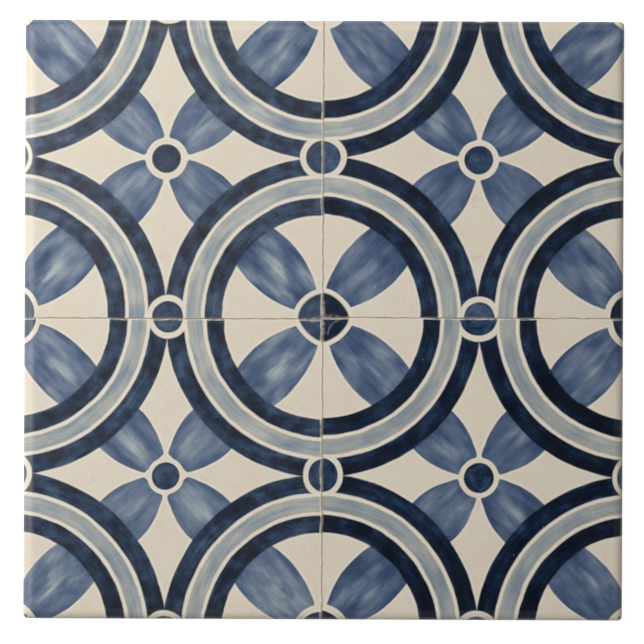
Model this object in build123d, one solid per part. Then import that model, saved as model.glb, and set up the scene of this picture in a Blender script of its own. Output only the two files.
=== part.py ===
from build123d import *
import os
from math import cos, radians, sin

# One square decorated ceramic tile, pressed from clay dust between two dies, fired and glazed.
# It lies on its back with the decorated face up.
# The origin is on the floor under the middle of the tile.

# Plan and thickness of the pressed tile
side_length = 108.0
thickness = 6.0
corner_radius = 0.8

# Cushioned edge of the face: how far it reaches in, and how far it falls at the outside
cushion_width = 1.7
cushion_fall = 1.1
cushion_outlines = 9

# Sides: they lean in towards the back, so that the tile leaves its die
side_draft = 0.35
back_edge_bevel = 0.3

# Keyed back: shallow square pockets between ribs, which the adhesive grips
back_border = 5.6
pocket_count = 6
rib_width = 2.6
pocket_depth = 0.7
pocket_corner_radius = 1.6
pocket_wall_slope = 35.0

back_side = side_length - 2 * side_draft
shoulder_height = thickness - cushion_fall
pocket_side = (back_side - 2 * back_border - (pocket_count - 1) * rib_width) / pocket_count
pocket_pitch = pocket_side + rib_width


def rounded_square(side, height):
    """A level square outline with the tile's rounded corners, at this height above the floor."""
    with BuildSketch(Plane.XY.offset(height)) as outline:
        RectangleRounded(side, side, corner_radius)
    return outline.sketch


def drafted_body():
    """The body from its back up to its widest line, where the cushioned edge begins."""
    back = rounded_square(back_side, 0)
    shoulder = rounded_square(side_length, shoulder_height)
    body = loft([back, shoulder], ruled=True)
    back_edges = body.faces().sort_by(Axis.Z)[0].edges()
    return chamfer(back_edges, back_edge_bevel)


def cushioned_face():
    """The face and its rolled edge, which steps in and up along a quarter of an ellipse."""
    outlines = []
    for step in range(cushion_outlines):
        turn = radians(90 * step / (cushion_outlines - 1))
        inset = cushion_width * (1 - cos(turn))
        height = shoulder_height + cushion_fall * sin(turn)
        outlines.append(rounded_square(side_length - 2 * inset, height))
    return loft(outlines)


def back_pockets():
    """The grid of pockets pressed into the back, with sloping walls and rounded corners."""
    with BuildPart() as pockets:
        with BuildSketch(Plane.XY):
            with GridLocations(pocket_pitch, pocket_pitch, pocket_count, pocket_count):
                RectangleRounded(pocket_side, pocket_side, pocket_corner_radius)
        extrude(amount=pocket_depth, taper=pocket_wall_slope)
    return pockets.part


# The whole tile is one fired piece
glazed_tile = drafted_body() + cushioned_face() - back_pockets()

os.makedirs("parts", exist_ok=True)
export_step(glazed_tile, "parts/glazed_tile.step")
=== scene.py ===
from math import cos, pi, radians, sin, sqrt, tan

import bpy
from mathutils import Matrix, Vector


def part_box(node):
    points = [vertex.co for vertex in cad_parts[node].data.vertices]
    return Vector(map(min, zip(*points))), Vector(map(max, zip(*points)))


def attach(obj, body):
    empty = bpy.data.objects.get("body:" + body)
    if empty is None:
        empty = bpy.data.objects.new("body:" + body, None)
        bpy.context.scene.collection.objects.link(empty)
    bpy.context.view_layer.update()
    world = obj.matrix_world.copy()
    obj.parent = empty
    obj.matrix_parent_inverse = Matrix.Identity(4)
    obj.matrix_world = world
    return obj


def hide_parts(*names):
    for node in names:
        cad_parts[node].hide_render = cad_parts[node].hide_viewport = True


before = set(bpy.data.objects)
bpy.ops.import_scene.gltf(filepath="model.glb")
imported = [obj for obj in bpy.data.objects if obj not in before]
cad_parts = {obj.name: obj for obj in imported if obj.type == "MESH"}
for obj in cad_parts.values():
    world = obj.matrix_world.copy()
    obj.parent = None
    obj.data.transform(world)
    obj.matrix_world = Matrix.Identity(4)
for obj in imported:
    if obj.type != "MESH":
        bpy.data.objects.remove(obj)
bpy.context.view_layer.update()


# The pressed body: one square of clay dust, pressed between two dies and fired, with the glaze fired on.
# The glaze covers the face, rolls over the cushioned edge and ends in an uneven hem part-way down the sides.
# Below the hem and on the keyed back the bare biscuit shows.
low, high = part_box("glazed_tile")
side = high[0] - low[0]
thickness = high[2] - low[2]
corner_radius = 0.0008
corner_facets = 6
edge_cuts = 90
cushion_width = 0.0017
cushion_fall = 0.0011
cushion_rings = 8
side_draft = 0.00035
back_edge_bevel = 0.0003
glaze_thickness = 0.00009
hem_height = 0.0021
hem_lip = 0.00014
hem_wander = 0.0016
hem_wave_length = 0.011
hem_wave_detail = 3
flat_margin = 0.0009
back_border = 0.0056
pocket_count = 6
rib_width = 0.0026
pocket_depth = 0.0007
pocket_corner_radius = 0.0016
pocket_corner_facets = 4
pocket_wall_slope = radians(35)
worn_edge = 0.00012
worn_edge_facets = 2
worn_angle = radians(28)
smooth_angle = radians(40)
same_height = 1e-6
same_point = 1e-7

shoulder = thickness - cushion_fall
back_side = side - 2 * side_draft
pocket_side = (back_side - 2 * back_border - (pocket_count - 1) * rib_width) / pocket_count
pocket_pitch = pocket_side + rib_width


def wall_half(height):
    """Half the width of the drafted side at this height."""
    return side / 2 - side_draft * (1 - height / shoulder)


def next_ring(height, half, below):
    """Draws the selected outline up to this height and half width. below is where it was."""
    old_height, old_half = below
    bpy.ops.mesh.extrude_region_move(
        TRANSFORM_OT_translate={"value": (0, 0, height - old_height)})
    grown = half / old_half
    bpy.ops.transform.resize(value=(grown, grown, 1), center_override=(0, 0, height))
    return height, half


def select_faces(mesh, wanted):
    """Selects the faces that wanted() says yes to, and nothing else."""
    bpy.ops.mesh.select_all(action="DESELECT")
    bpy.ops.object.mode_set(mode="OBJECT")
    for face in mesh.polygons:
        face.select = wanted(face)
    bpy.ops.object.mode_set(mode="EDIT")


bpy.ops.object.select_all(action="DESELECT")
bpy.ops.mesh.primitive_plane_add(size=2 * (back_side / 2 - back_edge_bevel), location=(0, 0, 0))
tile = bpy.context.object
tile.name = "tile"
bpy.ops.object.mode_set(mode="EDIT")
bpy.ops.mesh.bevel(offset=corner_radius, segments=corner_facets, affect="VERTICES")
bpy.ops.mesh.delete(type="ONLY_FACE")
bpy.ops.object.mode_set(mode="OBJECT")
for edge in tile.data.edges:
    one, two = (tile.data.vertices[i].co for i in edge.vertices)
    edge.select = (one - two).length > side / 2
bpy.ops.object.mode_set(mode="EDIT")
bpy.ops.mesh.select_mode(type="EDGE")
bpy.ops.mesh.subdivide(number_cuts=edge_cuts)
bpy.ops.mesh.select_all(action="SELECT")

ring = (0, back_side / 2 - back_edge_bevel)
ring = next_ring(back_edge_bevel, wall_half(back_edge_bevel) - glaze_thickness, ring)
ring = next_ring(hem_height, wall_half(hem_height) - glaze_thickness, ring)
hem_low = ring[0]
ring = next_ring(hem_height + hem_lip, wall_half(hem_height + hem_lip), ring)
hem_high = ring[0]
ring = next_ring(shoulder, side / 2, ring)
for step in range(1, cushion_rings + 1):
    turn = pi / 2 * step / cushion_rings
    ring = next_ring(shoulder + cushion_fall * sin(turn), side / 2 - cushion_width * (1 - cos(turn)), ring)
ring = next_ring(thickness, ring[1] - flat_margin, ring)
bpy.ops.mesh.edge_face_add()

# The keyed back: a grid of shallow pockets with sloping walls, pressed by the lower die. A pocket's face is a
# little smaller than its square, because its corners are rounded.
pocket_area = pocket_side ** 2
smallest_pocket = 0.6 * pocket_area
largest_pocket = 1.1 * pocket_area
bpy.ops.mesh.select_all(action="DESELECT")
bpy.ops.mesh.select_mode(type="FACE")
bpy.ops.mesh.primitive_grid_add(
    x_subdivisions=pocket_count, y_subdivisions=pocket_count,
    size=pocket_pitch * pocket_count, location=(0, 0, 0))
bpy.ops.mesh.flip_normals()
bpy.ops.mesh.inset(thickness=rib_width / 2, use_individual=True)
bpy.ops.mesh.bevel(offset=pocket_corner_radius, segments=pocket_corner_facets, affect="VERTICES")
select_faces(tile.data, lambda face: face.center.z < same_height
             and smallest_pocket < face.area < largest_pocket)
bpy.ops.mesh.inset(thickness=pocket_depth * tan(pocket_wall_slope), depth=-pocket_depth, use_individual=True)

# The border of the back joins the pocket grid to the tile's outline
bpy.ops.mesh.select_all(action="DESELECT")
bpy.ops.mesh.select_mode(type="EDGE")
bpy.ops.mesh.select_non_manifold()
bpy.ops.mesh.fill()
bpy.ops.mesh.select_all(action="SELECT")
bpy.ops.mesh.remove_doubles(threshold=same_point)
bpy.ops.mesh.normals_make_consistent(inside=False)
bpy.ops.object.mode_set(mode="OBJECT")

# Faces above the hem carry glaze, and the rest is bare biscuit
glaze = bpy.data.materials.new("glaze")
biscuit = bpy.data.materials.new("biscuit")
tile.data.materials.append(glaze)
tile.data.materials.append(biscuit)
for face in tile.data.polygons:
    face.material_index = 0 if face.center.z > hem_low + same_height else 1

# The glaze ran before it set, so its hem wanders up and down the sides
hem = tile.vertex_groups.new(name="hem")
for vertex in tile.data.vertices:
    if hem_low - same_height < vertex.co.z < hem_high + same_height:
        hem.add([vertex.index], 1, "REPLACE")
run = bpy.data.textures.new("glaze_run", "CLOUDS")
run.noise_scale = hem_wave_length
run.noise_depth = hem_wave_detail
wander = tile.modifiers.new("hem_wander", "DISPLACE")
wander.texture = run
wander.texture_coords = "LOCAL"
wander.vertex_group = "hem"
wander.direction = "Z"
wander.strength = hem_wander
worn = tile.modifiers.new("worn_edges", "BEVEL")
worn.width = worn_edge
worn.segments = worn_edge_facets
worn.limit_method = "ANGLE"
worn.angle_limit = worn_angle
bpy.ops.object.select_all(action="DESELECT")
tile.select_set(True)
bpy.context.view_layer.objects.active = tile
bpy.ops.object.modifier_apply(modifier="hem_wander")
bpy.ops.object.modifier_apply(modifier="worn_edges")
bpy.ops.object.shade_smooth_by_angle(angle=smooth_angle)

# The map of the surface: the face in the middle, with its edge and sides rolled out flat round it, and the
# back in a corner of its own
face_half = side / 2 - cushion_width
roll_length = 0.5 * pi * sqrt((cushion_width ** 2 + cushion_fall ** 2) / 2)
rolled_out_half = face_half + roll_length + shoulder
face_share = 0.78
back_share = 0.2
back_gap = 0.01
map_margin = 0.004
surface_map = tile.data.uv_layers.new(name="OFBake")


def rolled_out(place):
    """Where a point of the face, edge or side lies once the sides are rolled out flat."""
    x, y, z = place
    half = max(abs(x), abs(y))
    if half < face_half:
        return x, y
    if z > shoulder:
        run_down = roll_length * min(1, (half - face_half + thickness - z) / (cushion_width + cushion_fall))
    else:
        run_down = roll_length + shoulder - z
    out = (face_half + run_down) / half
    return x * out, y * out


for face in tile.data.polygons:
    middle = max(abs(face.center.x), abs(face.center.y))
    is_back = face.center.z < 2 * pocket_depth and middle < back_side / 2 - back_edge_bevel - worn_edge
    for corner in face.loop_indices:
        place = tile.data.vertices[tile.data.loops[corner].vertex_index].co
        if is_back:
            u = 1 - back_share / 2 + place.x / back_side * (back_share - back_gap)
            v = 1 - back_share / 2 + place.y / back_side * (back_share - back_gap)
        else:
            x, y = rolled_out(place)
            u = face_share / 2 + map_margin + x / (2 * rolled_out_half) * face_share
            v = face_share / 2 + map_margin + y / (2 * rolled_out_half) * face_share
        surface_map.data[corner].uv = (u, v)

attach(tile, "root")
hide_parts("glazed_tile")


# The decoration: blue and cream ceramic colours fired under the clear glaze. It shows four hand-painted tiles
# set two by two, each with a flower in its middle and a quarter of a ring at each corner. All sizes here are
# in millimetres on the face, with +X to the right and +Y to the top.
mm_in_metre = 1000
glaze.use_nodes = True
tree = glaze.node_tree
tree.nodes.clear()


def node(kind, **settings):
    """A new node of the material that is being mixed, with these settings."""
    made = tree.nodes.new("ShaderNode" + kind)
    for name, value in settings.items():
        setattr(made, name, value)
    return made


def feed(socket, source):
    """Gives a socket its source: another node's output, or a fixed number or colour."""
    if isinstance(source, bpy.types.NodeSocket):
        tree.links.new(source, socket)
    else:
        socket.default_value = source


def maths(operation, *terms, limit=False):
    made = node("Math", operation=operation, use_clamp=limit)
    for socket, term in zip(made.inputs, terms):
        feed(socket, term)
    return made.outputs[0]


def add(*terms):
    total = terms[0]
    for term in terms[1:]:
        total = maths("ADD", total, term)
    return total


def times(one, two):
    return maths("MULTIPLY", one, two)


def minus(one, two):
    return maths("SUBTRACT", one, two)


def least(*terms):
    smallest = terms[0]
    for term in terms[1:]:
        smallest = maths("MINIMUM", smallest, term)
    return smallest


def most(*terms):
    largest = terms[0]
    for term in terms[1:]:
        largest = maths("MAXIMUM", largest, term)
    return largest


def soft_least(one, two, rounding):
    """The smaller of the two, with the corner between them rounded off."""
    return maths("SMOOTH_MIN", one, two, rounding)


def size_of(value):
    """The value without its sign."""
    return maths("ABSOLUTE", value)


def is_over(value, bar):
    """1 where the value is over the bar, and 0 elsewhere."""
    return maths("GREATER_THAN", value, bar)


def is_under(value, bar):
    """1 where the value is under the bar, and 0 elsewhere."""
    return maths("LESS_THAN", value, bar)


def length_of(x, y):
    return maths("SQRT", add(times(x, x), times(y, y)))


def swing(noise, strength):
    """Turns noise about 0.5 into a push up or down of up to half this strength."""
    return times(minus(noise, 0.5), strength)


def pick(share, low_value, high_value):
    """low_value where share is 0, high_value where it is 1."""
    made = node("Mix", data_type="FLOAT")
    feed(made.inputs[0], share)
    feed(made.inputs[2], low_value)
    feed(made.inputs[3], high_value)
    return made.outputs[0]


def tint(share, under, over):
    """The colour under, covered with the colour over where share is 1."""
    made = node("Mix", data_type="RGBA")
    feed(made.inputs[0], share)
    feed(made.inputs[6], under if isinstance(under, bpy.types.NodeSocket) else (*under, 1))
    feed(made.inputs[7], over if isinstance(over, bpy.types.NodeSocket) else (*over, 1))
    return made.outputs[2]


def slope(value, start, end, low_value=0.0, high_value=1.0):
    """Rises smoothly from low_value at start to high_value at end."""
    made = node("MapRange", interpolation_type="SMOOTHSTEP")
    for socket, term in zip(made.inputs, (value, start, end, low_value, high_value)):
        feed(socket, term)
    return made.outputs[0]


def place_at(x, y, z):
    made = node("CombineXYZ")
    for socket, term in zip(made.inputs, (x, y, z)):
        feed(socket, term)
    return made.outputs[0]


def parts_of(vector):
    """The three parts of a place or a colour."""
    made = node("SeparateXYZ")
    feed(made.inputs[0], vector)
    return made.outputs


def moved(place, push):
    made = node("VectorMath", operation="ADD")
    feed(made.inputs[0], place)
    feed(made.inputs[1], push)
    return made.outputs[0]


def scaled(vector, share):
    """A place moved out, or a colour made stronger, by this share."""
    made = node("VectorMath", operation="SCALE")
    feed(made.inputs[0], vector)
    feed(made.inputs["Scale"], share)
    return made.outputs[0]


def cloud(place, scale, detail, roughness=0.5, colour=False):
    """Soft noise between 0 and 1 about a middle of 0.5."""
    made = node("TexNoise", noise_dimensions="3D")
    feed(made.inputs["Vector"], place)
    made.inputs["Scale"].default_value = scale
    made.inputs["Detail"].default_value = detail
    made.inputs["Roughness"].default_value = roughness
    return made.outputs["Color" if colour else "Fac"]


def dragged(across_stroke, along_stroke, scales, mark, detail, roughness):
    """Noise dragged out into strokes, by a scale of its own each way. Another mark gives other strokes."""
    place = place_at(times(across_stroke, scales[0]), times(along_stroke, scales[1]), mark)
    return cloud(place, 1.0, detail, roughness)


def ramp(value, *stops):
    """A colour that goes from stop to stop as value rises. Each stop is a place and its colour."""
    made = node("ValToRGB")
    feed(made.inputs[0], value)
    steps = made.color_ramp.elements
    while len(steps) < len(stops):
        steps.new(0.5)
    for step, (place, shade) in zip(steps, stops):
        step.position = place
        step.color = (*shade, 1)
    return made.outputs[0]


def brushed(distance_inside, softness):
    """1 inside a painted edge and 0 outside it, from the distance to that edge."""
    return maths("MULTIPLY_ADD", distance_inside, 1 / softness, 0.5, limit=True)


# Which of the four painted tiles, and the place on it. The painter set each motif a little off its place. The
# marks set the four apart, so that each has strokes of its own.
face_place = scaled(node("TexCoord").outputs["Object"], mm_in_metre)
face_x, face_y, face_z = parts_of(face_place)
off_x = size_of(face_x)
off_y = size_of(face_y)
off_middle = most(off_x, off_y)

joint_x = -0.17
joint_y = 0.18
joint_step = 0.29
joint_wander_x = 0.5
joint_wander_y = 0.4
corner_reach = 28.35
right_mark = 17.3
upper_mark = 41.9

joint_wave = minus(cloud(face_place, scale=0.35, detail=2), 0.5)
past_joint_x = add(face_x, -joint_x, times(joint_wave, joint_wander_x))
is_right = is_over(past_joint_x, 0)
past_joint_y = add(face_y, -joint_y, times(is_right, -joint_step), times(joint_wave, joint_wander_y))
is_upper = is_over(past_joint_y, 0)


def by_painted_tile(lower_left, lower_right, upper_left, upper_right):
    """The value for the painted tile that a point is on."""
    lower = pick(is_right, lower_left, lower_right)
    upper = pick(is_right, upper_left, upper_right)
    return pick(is_upper, lower, upper)


motif_x = by_painted_tile(lower_left=-28.37, lower_right=28.00, upper_left=-28.40, upper_right=27.81)
motif_y = by_painted_tile(lower_left=-28.02, lower_right=-28.11, upper_left=29.19, upper_right=29.16)
motif_turn = radians(0.30)
tile_mark = add(times(is_right, right_mark), times(is_upper, upper_mark))
turned = node("VectorRotate", rotation_type="Z_AXIS")
feed(turned.inputs["Vector"], place_at(minus(face_x, motif_x), minus(face_y, motif_y), tile_mark))
turned.inputs["Angle"].default_value = motif_turn
on_motif = turned.outputs[0]


# The painter's hand: slow wavering of the outlines and a finer tremble. Both move the paint a little, so that
# no ring or petal is quite true.
def hand_wander(scale, detail, spread):
    """A push across the face, of up to half the spread each way."""
    made = node("VectorMath", operation="MULTIPLY_ADD")
    feed(made.inputs[0], cloud(on_motif, scale, detail, colour=True))
    made.inputs[1].default_value = (spread, spread, 0)
    made.inputs[2].default_value = (-spread / 2, -spread / 2, 0)
    return made.outputs[0]


slow_hand = hand_wander(scale=0.09, detail=1, spread=0.5)
fine_hand = hand_wander(scale=0.42, detail=2, spread=0.20)
hand = moved(slow_hand, fine_hand)
hand_x, hand_y, _ = parts_of(hand)
drawn_x, drawn_y, _ = parts_of(moved(on_motif, hand))

# The rings have their middles at the corners of each painted tile, and the flower sits a little low in it
flower_drop = 0.2
from_x = size_of(drawn_x)
from_y = size_of(drawn_y)
ring_x = minus(corner_reach, from_x)
ring_y = minus(corner_reach, from_y)
ring_radius = length_of(ring_x, ring_y)
flower_radius = length_of(drawn_x, add(drawn_y, flower_drop))
side_disc_radius = length_of(ring_x, from_y)
end_disc_radius = length_of(from_x, ring_y)


# The hub on the crossing of the joints and the four discs on the joints were each painted as one, so they are
# placed on the whole face, within middle_half of its middle. Each has a cream margin round it.
def from_disc(centre, half_size, roundness=2.0):
    """The distance from a disc's centre, as a share of its half width and half height. At a roundness of 2
    the disc is round, and below that it is flatter on the diagonals."""
    across_disc = size_of(maths("DIVIDE", add(face_x, -centre[0], hand_x), half_size[0]))
    up_disc = size_of(maths("DIVIDE", add(face_y, -centre[1], hand_y), half_size[1]))
    total = add(maths("POWER", across_disc, roundness), maths("POWER", up_disc, roundness))
    return maths("POWER", total, maths("DIVIDE", 1.0, roundness))


hub_roundness = by_painted_tile(lower_left=1.56, lower_right=1.56, upper_left=1.90, upper_right=1.64)
right_disc_half_width = pick(is_upper, 3.35, 2.80)
hub = from_disc(centre=(0.0, 0.43), half_size=(4.58, 4.38), roundness=hub_roundness)
top_disc = from_disc(centre=(-0.19, 29.27), half_size=(3.12, 3.02))
left_disc = from_disc(centre=(-28.08, 0.45), half_size=(2.76, 2.95))
right_disc = from_disc(centre=(27.95, 0.30), half_size=(right_disc_half_width, 2.98))
bottom_disc = from_disc(centre=(-0.08, -27.94), half_size=(2.66, 3.00))
painted_disc_radius = 3.0
margin_hub_radius = 4.3
margin_disc_radius = 2.95
hub_zone = 5
middle_half = 42

nearest_disc = least(hub, top_disc, left_disc, right_disc, bottom_disc)
joint_discs = times(minus(1.0, nearest_disc), painted_disc_radius)
near_middle = times(is_under(off_x, middle_half), is_under(off_y, middle_half))
near_hub = is_under(hub, hub_zone)
past_hub = times(minus(hub, 1), margin_hub_radius)
past_joint_discs = times(minus(least(top_disc, left_disc, right_disc, bottom_disc), 1), margin_disc_radius)

# Rings: navy, pale and navy bands with fine cream lines between them
inner_band = (18.08, 21.28)
pale_band = (21.96, 24.66)
outer_band_start = 25.34
outer_band_end = by_painted_tile(lower_left=28.66, lower_right=28.66, upper_left=28.54, upper_right=28.64)
joint_disc_margin = 1.02


def within(band):
    """The distance inside a band of the ring."""
    return least(minus(ring_radius, band[0]), minus(band[1], ring_radius))


# At the outside of the tile the discs are cut off. The painter gave each its own size and cream margin, and
# closed the arms of the star a little sooner there.
end_hub = pick(is_upper, 4.05, 3.55)
side_hub = pick(is_right, 4.75, 4.40)
corner_hub = 3.0
side_or_corner_hub = pick(is_over(off_y, middle_half), side_hub, corner_hub)
outer_hub = pick(is_over(off_x, middle_half), end_hub, side_or_corner_hub)
end_disc = by_painted_tile(lower_left=2.95, lower_right=3.05, upper_left=2.9, upper_right=2.3)
end_margin = by_painted_tile(lower_left=1.02, lower_right=1.10, upper_left=1.25, upper_right=1.40)
side_disc = by_painted_tile(lower_left=3.38, lower_right=3.45, upper_left=3.45, upper_right=2.85)
side_margin = by_painted_tile(lower_left=0.90, lower_right=0.83, upper_left=0.70, upper_right=1.05)
arm_closing = by_painted_tile(lower_left=0.12, lower_right=0.04, upper_left=0.26, upper_right=0.09)
past_outer_discs = least(minus(side_disc_radius, add(side_disc, side_margin)),
                         minus(end_disc_radius, add(end_disc, end_margin)))
closed_arm = slope(off_middle, start=48.5, end=53.0, high_value=arm_closing)

band_wander = swing(cloud(on_motif, scale=0.30, detail=2), strength=0.5)
inner_band_wander = times(band_wander, -0.6)
past_discs = pick(near_middle, past_outer_discs, minus(past_joint_discs, joint_disc_margin))
outer_navy = least(minus(ring_radius, outer_band_start), minus(add(outer_band_end, closed_arm), ring_radius),
                   past_discs)
navy_bands = most(add(within(inner_band), inner_band_wander), outer_navy)
outer_discs = most(minus(outer_hub, ring_radius), minus(side_disc, side_disc_radius),
                   minus(end_disc, end_disc_radius))
flower_disc = by_painted_tile(lower_left=2.50, lower_right=2.72, upper_left=2.60, upper_right=2.62)
discs = most(minus(flower_disc, flower_radius), pick(near_middle, outer_discs, joint_discs))
navy = most(navy_bands, discs)
pale = add(within(pale_band), band_wander)

# Petals: each is the overlap of two round arcs, set on a diagonal, and runs a little way under a navy band
half_root = sqrt(0.5)
flower_along = times(add(from_x, from_y), half_root)
flower_across = times(minus(from_x, from_y), half_root)
ring_along = times(add(ring_x, ring_y), half_root)
ring_across = times(minus(ring_x, ring_y), half_root)
flower_petal = {"widest_at": 11.2, "arc": 14.0, "arc_centre": 9.1, "root": 2.8, "root_spread": 0.22}
ring_petal = {"widest_at": 13.71, "arc": 19.21, "arc_centre": 14.09, "root": 4.0, "root_spread": 0.0}
root_length = 2.4
flower_petal_limit = 28.25
ring_petal_limit = inner_band[0] + 0.3


def petal(along, across, shape):
    """The distance inside a petal's two arcs, which spread a little at the root."""
    spread = slope(along, shape["root"] + root_length, shape["root"], 0, shape["root_spread"])
    from_arc = length_of(minus(along, shape["widest_at"]),
                         minus(add(size_of(across), shape["arc_centre"]), spread))
    return minus(shape["arc"], from_arc)


straight_root = by_painted_tile(lower_left=2.98, lower_right=2.75, upper_left=1.0, upper_right=2.6)
round_root = by_painted_tile(lower_left=3.34, lower_right=3.60, upper_left=3.76, upper_right=3.62)
flower_root = least(minus(flower_along, straight_root), minus(flower_radius, round_root))
flower_corner = by_painted_tile(lower_left=0.35, lower_right=0.65, upper_left=0.95, upper_right=0.70)
flower_oval = petal(flower_along, flower_across, flower_petal)
flower_petals = least(soft_least(flower_oval, flower_root, flower_corner),
                      minus(ring_radius, flower_petal_limit))

hub_margin = 0.86
end_hub_margin = 5.3
side_hub_margin = pick(is_right, 5.6, 5.45)
outer_hub_margin = pick(is_over(off_x, middle_half), end_hub_margin, side_hub_margin)
hub_corner = 0.3
ring_root = pick(near_hub, minus(ring_radius, outer_hub_margin), minus(past_hub, hub_margin))
ring_oval = petal(ring_along, ring_across, ring_petal)
ring_petals = least(soft_least(ring_oval, ring_root, hub_corner), minus(ring_petal_limit, ring_radius))
petals = most(flower_petals, ring_petals)

# Each petal has its own luck of the brush: three chances between 0 and 1. Each layer of strokes has a mark of
# its own, so that no two layers look alike.
left_right_mark = 3.1
up_down_mark = 7.7
ring_mark = 29.3
is_ring_petal = is_under(ring_radius, outer_band_start)
along = pick(is_ring_petal, flower_along, ring_along)
across = pick(is_ring_petal, flower_across, ring_across)
petal_mark = add(tile_mark, times(maths("SIGN", drawn_x), left_right_mark),
                 times(maths("SIGN", drawn_y), up_down_mark), times(is_ring_petal, ring_mark))
navy_stroke_mark = add(petal_mark, 2)
navy_hair_mark = add(petal_mark, 4)
petal_wash_mark = add(petal_mark, 5)
pale_patch_mark = add(petal_mark, 6)
petal_stroke_mark = add(petal_mark, 8)
pale_stroke_mark = add(petal_mark, 9)
luck = node("TexWhiteNoise", noise_dimensions="1D")
feed(luck.inputs["W"], petal_mark)
chances = parts_of(luck.outputs["Color"])

# Petal paint: a slate-blue wash, dragged out in streaks that bow with the petal's sides. It is thin and grey
# along the middle, and settles darker towards the outline.
bow_at_root = 1.7
bow_growth = 0.95
bowed = maths("DIVIDE", across, add(bow_at_root, times(maths("SQRT", most(along, 0)), bow_growth)))
streaks = dragged(bowed, along, (4.0, 0.11), petal_mark, detail=3, roughness=0.56)
strokes = dragged(bowed, along, (1.7, 0.15), petal_stroke_mark, detail=2, roughness=0.5)
washes = dragged(across, along, (0.36, 0.14), petal_wash_mark, detail=3, roughness=0.52)
grain = minus(cloud(face_place, scale=3.2, detail=2, roughness=0.6), 0.5)

thin_middle = pick(is_ring_petal, 8.9, 11.8)
thin_half_length = 5.2
thin_half_width = 1.9
from_thin_middle = add(along, times(thin_middle, -1), swing(chances[0], strength=3.5))
beside_thin_middle = add(across, swing(chances[1], strength=2.0), swing(washes, strength=2.6))
thin_along = maths("DIVIDE", from_thin_middle, thin_half_length)
thin_across = maths("DIVIDE", beside_thin_middle, thin_half_width)
thinned = slope(length_of(thin_along, thin_across), start=1.0, end=0.1)
thinning = add(0.10, times(chances[2], 0.22), times(is_ring_petal, 0.08))
thin_streaks = slope(streaks, start=0.30, end=0.62, low_value=0.50, high_value=1.30)

petal_light = by_painted_tile(lower_left=0.53, lower_right=0.365, upper_left=0.52, upper_right=0.385)
ring_petal_light = by_painted_tile(lower_left=-0.01, lower_right=0.0, upper_left=-0.055, upper_right=0.0)
own_light = add(petal_light, times(is_ring_petal, ring_petal_light))
wash_strength = add(0.75, times(is_ring_petal, 0.55))
settled = times(slope(petals, start=1.9, end=0.0), -0.09)
petal_outline = times(slope(petals, start=0.5, end=0.0), -0.06)
petal_grain = times(grain, 0.18)
petal_wash = add(own_light, swing(streaks, strength=0.48), swing(strokes, strength=0.64),
                 swing(washes, wash_strength), times(times(thinned, thinning), thin_streaks),
                 settled, petal_outline, petal_grain)
petal_colour = ramp(petal_wash,
                    (0.12, (0.040, 0.070, 0.140)), (0.36, (0.085, 0.126, 0.212)),
                    (0.56, (0.145, 0.192, 0.268)), (0.80, (0.270, 0.320, 0.355)), (1.0, (0.38, 0.42, 0.42)))

# Navy paint: thick strokes that follow the rings, near black where they overlap and blue where they are thin.
# The discs are dabbed on, with a darker outline. Towards the right and the bottom a painted shade darkens
# the navy.
mean_band_radius = 23
stroke_along = times(maths("ARCTAN2", ring_y, ring_x), mean_band_radius)
slanted_along = add(times(stroke_along, 0.15), times(ring_radius, 0.17))
slanted_across = add(times(ring_radius, 0.40), times(stroke_along, -0.06))
navy_strokes = cloud(place_at(slanted_along, slanted_across, navy_stroke_mark),
                     scale=1.0, detail=4, roughness=0.60)
navy_pools = cloud(face_place, scale=0.36, detail=3, roughness=0.55)
navy_hairs = dragged(stroke_along, ring_radius, (0.13, 2.7), navy_hair_mark, detail=3, roughness=0.6)
disc_zone = 8
hub_outline = 1.3
is_flower_disc = is_under(flower_radius, disc_zone)
is_hub = is_under(hub, hub_outline)
from_disc_middle = pick(is_flower_disc, times(nearest_disc, painted_disc_radius), flower_radius)
dab_rings = 0.8
dab_scale = 0.42
dab_place = place_at(times(from_disc_middle, dab_rings), times(face_x, dab_scale),
                     add(times(face_y, dab_scale), tile_mark))
dabs = cloud(dab_place, scale=1.0, detail=3, roughness=0.58)

band_thin = by_painted_tile(lower_left=0.46, lower_right=0.29, upper_left=0.53, upper_right=0.36)
flower_thin = by_painted_tile(lower_left=0.60, lower_right=0.46, upper_left=0.50, upper_right=0.58)
hub_thin = by_painted_tile(lower_left=0.68, lower_right=0.29, upper_left=0.70, upper_right=0.25)
joint_disc_thin = by_painted_tile(lower_left=0.67, lower_right=0.53, upper_left=0.63, upper_right=0.76)
outer_hub_thin = by_painted_tile(lower_left=0.62, lower_right=0.50, upper_left=0.72, upper_right=0.34)
middle_disc_thin = pick(is_flower_disc, pick(is_hub, joint_disc_thin, hub_thin), flower_thin)
cut_disc_thin = 0.86
outer_disc_thin = pick(is_under(ring_radius, disc_zone), cut_disc_thin, outer_hub_thin)
disc_thin = pick(near_middle, outer_disc_thin, middle_disc_thin)

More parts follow.
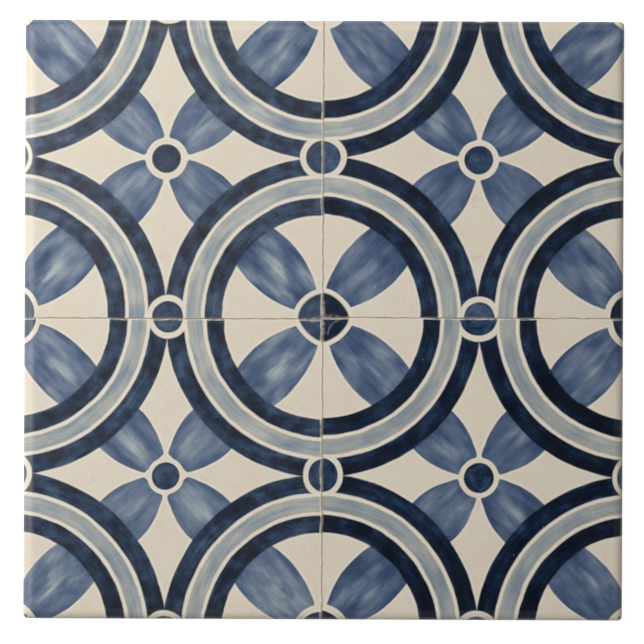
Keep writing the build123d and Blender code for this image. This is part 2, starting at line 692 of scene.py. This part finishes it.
pooling = by_painted_tile(lower_left=1.1, lower_right=0.6, upper_left=1.4, upper_right=0.6)
band_outline = times(slope(navy_bands, start=0.40, end=0.0), 0.07)
band_wash = add(band_thin, swing(navy_strokes, strength=1.2), swing(navy_pools, pooling),
                swing(navy_hairs, strength=0.55), band_outline)
dab_depth = pick(is_flower_disc, 1.0, 1.1)
disc_outline = times(slope(discs, start=0.55, end=0.1), -0.14)
disc_wash = add(disc_thin, swing(dabs, dab_depth), disc_outline)
disc_fringe = 0.3
is_disc = is_over(discs, -disc_fringe)
# Painted shade: the navy is made darker towards the right edge and the bottom edge
shade_towards_lower_right = most(slope(face_x, start=30, end=50), slope(face_y, start=-38, end=-50))
navy_grain = times(grain, 0.34)
painted_shade = times(shade_towards_lower_right, -0.11)
navy_wash = add(pick(is_disc, band_wash, disc_wash), navy_grain, painted_shade)
navy_colour = ramp(navy_wash,
                   (0.08, (0.0010, 0.0042, 0.0125)), (0.34, (0.0038, 0.0130, 0.037)),
                   (0.52, (0.015, 0.037, 0.084)), (0.72, (0.038, 0.075, 0.145)),
                   (0.92, (0.078, 0.120, 0.185)))
# Painted sheen: a grey veil over the navy, strongest on the upper left painted tile, weaker on the lower left
# and slight or none on the right
sheen_grey = (0.072, 0.072, 0.070)
painted_sheen = by_painted_tile(lower_left=0.15, lower_right=0.0, upper_left=0.26, upper_right=0.04)
navy_colour = tint(painted_sheen, navy_colour, sheen_grey)

# Where two rings meet under the disc that is cut off at the upper left, the paint is thick and nearly black
near_black = (0.034, 0.036, 0.038)
thick_x, thick_y = -29.3, 53.2
thick_strength = 0.75
thick_narrowing = 0.26
thick_flattening = 0.52
across_thick = times(minus(face_x, thick_x), thick_narrowing)
up_thick = times(minus(face_y, thick_y), thick_flattening)
thick_paint = slope(length_of(across_thick, up_thick), start=1.0, end=0.3)
navy_colour = tint(times(thick_paint, thick_strength), navy_colour, near_black)

# Pale paint: one thin grey-blue stroke round each ring, a little warmer on some of the painted tiles
pale_strokes = dragged(stroke_along, ring_radius, (0.11, 1.5), pale_stroke_mark, detail=5, roughness=0.66)
pale_patches = dragged(stroke_along, ring_radius, (0.15, 0.25), pale_patch_mark, detail=3, roughness=0.5)
pale_light = by_painted_tile(lower_left=0.54, lower_right=0.42, upper_left=0.50, upper_right=0.48)
pale_grain = times(grain, 0.25)
pale_wash = add(pale_light, swing(pale_strokes, strength=1.35), swing(pale_patches, strength=1.5), pale_grain)
pale_colour = ramp(pale_wash,
                   (0.12, (0.190, 0.245, 0.310)), (0.40, (0.300, 0.340, 0.360)),
                   (0.62, (0.385, 0.405, 0.390)), (0.9, (0.50, 0.50, 0.455)))
straw = (0.335, 0.325, 0.270)
warmed = by_painted_tile(lower_left=0.08, lower_right=0.20, upper_left=0.0, upper_right=0.08)
pale_colour = tint(warmed, pale_colour, straw)

# The cream ground, faintly mottled, with a few tan stains. Wax drawn along the outlines kept the ground clean
# beside the paint, so a lighter line runs round every painted shape.
cream = (0.705, 0.635, 0.522)
cream_warm = (0.700, 0.610, 0.488)
cream_light = (0.735, 0.672, 0.560)
wax_line = (0.790, 0.735, 0.620)
stain = (0.46, 0.36, 0.26)
light_strength = 0.6
stain_strength = 0.45
warm_patches = slope(cloud(face_place, scale=0.16, detail=4), start=0.36, end=0.72)
light_patches = slope(cloud(face_place, scale=1.9, detail=3), start=0.40, end=0.70)
stain_patches = slope(cloud(face_place, scale=0.30, detail=2), start=0.62, end=0.78)
stain_grain = slope(cloud(face_place, scale=1.6, detail=3), start=0.40, end=0.70)
ground = tint(warm_patches, cream, cream_warm)
ground = tint(times(light_patches, light_strength), ground, cream_light)
bare_ground = tint(times(times(stain_patches, stain_grain), stain_strength), ground, stain)
to_paint = most(petals, pale, navy)
wax_luck = slope(joint_wave, start=-0.3, end=0.3, low_value=0.55, high_value=0.95)
clean = times(slope(to_paint, start=-0.55, end=-0.16), wax_luck)
ground = tint(clean, bare_ground, wax_line)

# Layers of paint, in the order of the brush. The colour dries warm and thin along the edge of some strokes.
tan_line = (0.46, 0.39, 0.28)
petal_softness = 0.24
band_softness = 0.28
at_petal_edge = slope(size_of(add(petals, 0.02)), start=0.16, end=0.02)
at_pale_edge = slope(size_of(add(pale, -0.02)), start=0.22, end=0.03)
petal_tan = slope(washes, start=0.42, end=0.62, high_value=0.5)
pale_tan = slope(pale_patches, start=0.30, end=0.65, low_value=0.10, high_value=0.65)
colour = tint(brushed(petals, petal_softness), ground, petal_colour)
colour = tint(times(at_petal_edge, petal_tan), colour, tan_line)
colour = tint(brushed(pale, band_softness), colour, pale_colour)
colour = tint(times(at_pale_edge, pale_tan), colour, tan_line)
colour = tint(brushed(navy, band_softness), colour, navy_colour)

# Pinholes: tiny pale specks where the glaze boiled off the paint
pinhole_strength = 0.22
pinholes = slope(cloud(face_place, scale=1.9, detail=0), start=0.875, end=0.92)
colour = tint(times(pinholes, pinhole_strength), colour, cream)

# Joint lines of the painted tiles: a tan line that breaks and thickens, with a thin dark core and a pale line
# beside it
joint_tan = (0.36, 0.28, 0.19)
joint_core = (0.16, 0.115, 0.075)
joint_strength = 0.65
near_joint_x = size_of(past_joint_x)
near_joint_y = size_of(past_joint_y)
joint_luck = cloud(face_place, scale=0.9, detail=3, roughness=0.6)
slow_luck = minus(cloud(face_place, scale=0.55, detail=3, roughness=0.6), 0.5)
line_half = add(0.11, times(joint_luck, 0.29))
core_half = add(0.02, times(joint_luck, 0.17))
line = slope(least(near_joint_x, times(near_joint_y, 1.3)), line_half, 0.03)
core = slope(least(times(near_joint_x, 1.5), near_joint_y), core_half, 0.0)
left_of_line = slope(size_of(add(past_joint_x, 0.27)), start=0.20, end=0.05)
below_line = slope(size_of(add(past_joint_y, 0.24)), start=0.18, end=0.05)
pale_breaks = slope(joint_luck, start=0.35, end=0.65, low_value=0.25, high_value=0.75)
core_breaks = slope(joint_luck, start=0.35, end=0.6, low_value=0.35, high_value=0.9)
colour = tint(times(most(left_of_line, below_line), pale_breaks), colour, wax_line)
colour = tint(times(line, joint_strength), colour, joint_tan)
colour = tint(times(core, core_breaks), colour, joint_core)

# On the hub the paint is rubbed away in ragged patches along the joints, and a curved scratch is left by the
# brush on its lower right quarter
rubbed_clay = (0.52, 0.47, 0.39)
scratch_grey = (0.42, 0.46, 0.48)
bend_x, bend_y = 3.4, -3.1
bend_radius = 2.6
rubbed_strength = 0.5
scratch_strength = 0.26
ragged_half = add(0.2, times(joint_luck, 0.8))
rubbed = slope(slow_luck, start=-0.06, end=0.14)
ragged = slope(least(near_joint_x, times(near_joint_y, 0.8)), ragged_half, 0.05)
on_hub = times(is_under(hub, 1.0), rubbed_strength)
colour = tint(times(times(ragged, rubbed), on_hub), colour, rubbed_clay)
from_bend = length_of(add(past_joint_x, -bend_x), add(past_joint_y, -bend_y))
from_scratch = size_of(add(from_bend, -bend_radius, times(slow_luck, 0.9)))
scratch_breaks = times(is_under(hub, 0.74), slope(slow_luck, start=-0.16, end=0.10))
scratch = times(slope(from_scratch, start=0.24, end=0.04), scratch_breaks)
colour = tint(times(scratch, scratch_strength), colour, scratch_grey)

# Two small dark marks at the lower corners
corner_mark_x, corner_mark_y = 53.55, -53.5
corner_mark_strength = 0.85
corner_marks = slope(length_of(minus(off_x, corner_mark_x), minus(face_y, corner_mark_y)), start=0.5, end=0.2)
colour = tint(times(corner_marks, corner_mark_strength), colour, joint_core)

# The glaze drew back from the rolled edge while it was molten, so it is thinner and paler there all round.
# A painted highlight makes the rim lighter still on the left side, and brighter on the upper left half.
from_edge = minus(mm_in_metre * side / 2, off_middle)
rim = slope(from_edge, start=2.10, end=1.10)
rim_end = slope(from_edge, start=0.8, end=0.2)
is_left = is_over(times(face_x, -1), off_y)
is_upper_left = is_over(face_y, face_x)
thin_glaze_and_highlight = add(times(rim, 0.012), times(times(rim, is_left), 0.045), times(rim_end, 0.05))
painted_rim_highlight = add(times(rim, 0.03), times(rim_end, 0.10))
colour = tint(thin_glaze_and_highlight, colour, wax_line)
# Painted highlight: the rim of the upper left half is made brighter
colour = scaled(colour, add(1.0, times(is_upper_left, painted_rim_highlight)))

# The print ends just past the rolled edge, and the sides are plain cream
print_end = 4.55
print_fade = 0.2
print_wander = swing(cloud(face_place, scale=0.8, detail=2), strength=0.5)
printed = slope(add(face_z, print_wander), print_end - print_fade, print_end + print_fade)
colour = tint(printed, bare_ground, colour)

# The fired glaze ripples slightly, and it is a little duller where it lies on paint and on the rolled edge
ripple_height = 0.00001
glaze_ior = 1.46
ripple = cloud(face_place, scale=0.22, detail=2)
fine_ripple = cloud(face_place, scale=1.4, detail=2)
skin = node("Bump")
skin.inputs["Strength"].default_value = 1.0
skin.inputs["Distance"].default_value = ripple_height
feed(skin.inputs["Height"], add(times(ripple, 4.0), times(fine_ripple, 0.5)))

gloss_softness = 0.3
painted = most(brushed(petals, gloss_softness), brushed(pale, gloss_softness), brushed(navy, gloss_softness))
bare_gloss = slope(ripple, start=0.3, end=0.7, low_value=0.24, high_value=0.28)
paint_gloss = slope(washes, start=0.3, end=0.7, low_value=0.24, high_value=0.30)
gloss = node("BsdfPrincipled")
feed(gloss.inputs["Base Color"], colour)
feed(gloss.inputs["Roughness"], add(pick(painted, bare_gloss, paint_gloss), times(rim, 0.20)))
feed(gloss.inputs["Normal"], skin.outputs[0])
gloss.inputs["IOR"].default_value = glaze_ior
surface = node("OutputMaterial")
feed(surface.inputs["Surface"], gloss.outputs[0])


# The biscuit: bare fired clay on the sides below the hem and on the back. It is pale, dry and chalky, with a
# fine grit, and the back is left bare so that the adhesive grips it.
clay_dark = (0.60, 0.52, 0.42)
clay_light = (0.70, 0.63, 0.53)
speckles_in_metre = 900
grit_in_metre = 3200
grit_height = 0.00004
clay_roughness = 0.85
biscuit.use_nodes = True
tree = biscuit.node_tree
tree.nodes.clear()
clay_place = node("TexCoord").outputs["Object"]
speckle = cloud(clay_place, speckles_in_metre, detail=4, roughness=0.6)
fine_grit = cloud(clay_place, grit_in_metre, detail=2, roughness=0.6)
clay = tint(slope(speckle, start=0.35, end=0.7), clay_dark, clay_light)
dry = node("BsdfPrincipled")
feed(dry.inputs["Base Color"], clay)
grit = node("Bump")
grit.inputs["Strength"].default_value = 1.0
grit.inputs["Distance"].default_value = grit_height
feed(grit.inputs["Height"], add(speckle, times(fine_grit, 0.6)))
feed(dry.inputs["Normal"], grit.outputs[0])
dry.inputs["Roughness"].default_value = clay_roughness
surface = node("OutputMaterial")
feed(surface.inputs["Surface"], dry.outputs[0])


# The studio: a plain white table of matt paper under the tile. The camera and the glaze see it as white, and
# it keeps the tile's shadow.
table_size = 20
table_white = 0.93
paper_grey = (0.6, 0.6, 0.6, 1)
sky_white = (1, 1, 1, 1)
sky_strength = 0.03
bpy.ops.object.select_all(action="DESELECT")
bpy.ops.mesh.primitive_plane_add(size=table_size, location=(0, 0, low[2]))
table = bpy.context.object
table.name = "table"
white = bpy.data.materials.new("white_table")
white.use_nodes = True
tree = white.node_tree
tree.nodes.clear()
path = node("LightPath")
seen = most(path.outputs["Is Camera Ray"], path.outputs["Is Glossy Ray"], path.outputs["Is Transmission Ray"])
glow = node("Emission")
feed(glow.inputs["Strength"], times(seen, table_white))
paper = node("BsdfDiffuse")
paper.inputs["Color"].default_value = paper_grey
together = node("AddShader")
feed(together.inputs[0], glow.outputs[0])
feed(together.inputs[1], paper.outputs[0])
surface = node("OutputMaterial")
feed(surface.inputs["Surface"], together.outputs[0])
table.data.materials.append(white)

sky = bpy.data.worlds.new("studio")
sky.use_nodes = True
sky.node_tree.nodes["Background"].inputs["Color"].default_value = sky_white
sky.node_tree.nodes["Background"].inputs["Strength"].default_value = sky_strength
bpy.context.scene.world = sky


# The lamps: a soft window at the upper left lights the face, and a low reflector on the lower right lifts the
# shaded sides and hardly reaches the face. Both are square and point at the middle of the tile's back.
def square_lamp(name, size, power, place):
    """Hangs a square lamp that faces the origin."""
    data = bpy.data.lights.new(name, "AREA")
    data.shape = "SQUARE"
    data.size = size
    data.energy = power
    lamp = bpy.data.objects.new(name, data)
    lamp.location = place
    lamp.rotation_euler = lamp.location.to_track_quat("Z", "Y").to_euler()
    bpy.context.scene.collection.objects.link(lamp)


square_lamp("window", size=0.30, power=2.26, place=(-0.222, 0.121, 0.358))
square_lamp("reflector", size=0.3, power=1.0, place=(0.55, -0.45, 0.06))


# The camera: it looks straight down at the tile from a metre above the table. The photo is 644 pixels across,
# with the tile's middle a little off its own and the tile a little turned.
photo_width = 644
tile_width_px = 598.8
tile_middle_px = (323.7, 320.0)
picture_turn = radians(0.24)
camera_height = 1.0
film_width = 36
pixel = side / tile_width_px
camera_data = bpy.data.cameras.new("camera")
camera_data.sensor_width = film_width
camera_data.lens = film_width * (camera_height - shoulder) / (photo_width * pixel)
camera = bpy.data.objects.new("camera", camera_data)
camera.location = ((photo_width / 2 - tile_middle_px[0]) * pixel,
                   (tile_middle_px[1] - photo_width / 2) * pixel, camera_height)
camera.rotation_euler = (0, 0, picture_turn)
bpy.context.scene.collection.objects.link(camera)
bpy.context.scene.camera = camera
bpy.context.scene.view_settings.view_transform = "Standard"
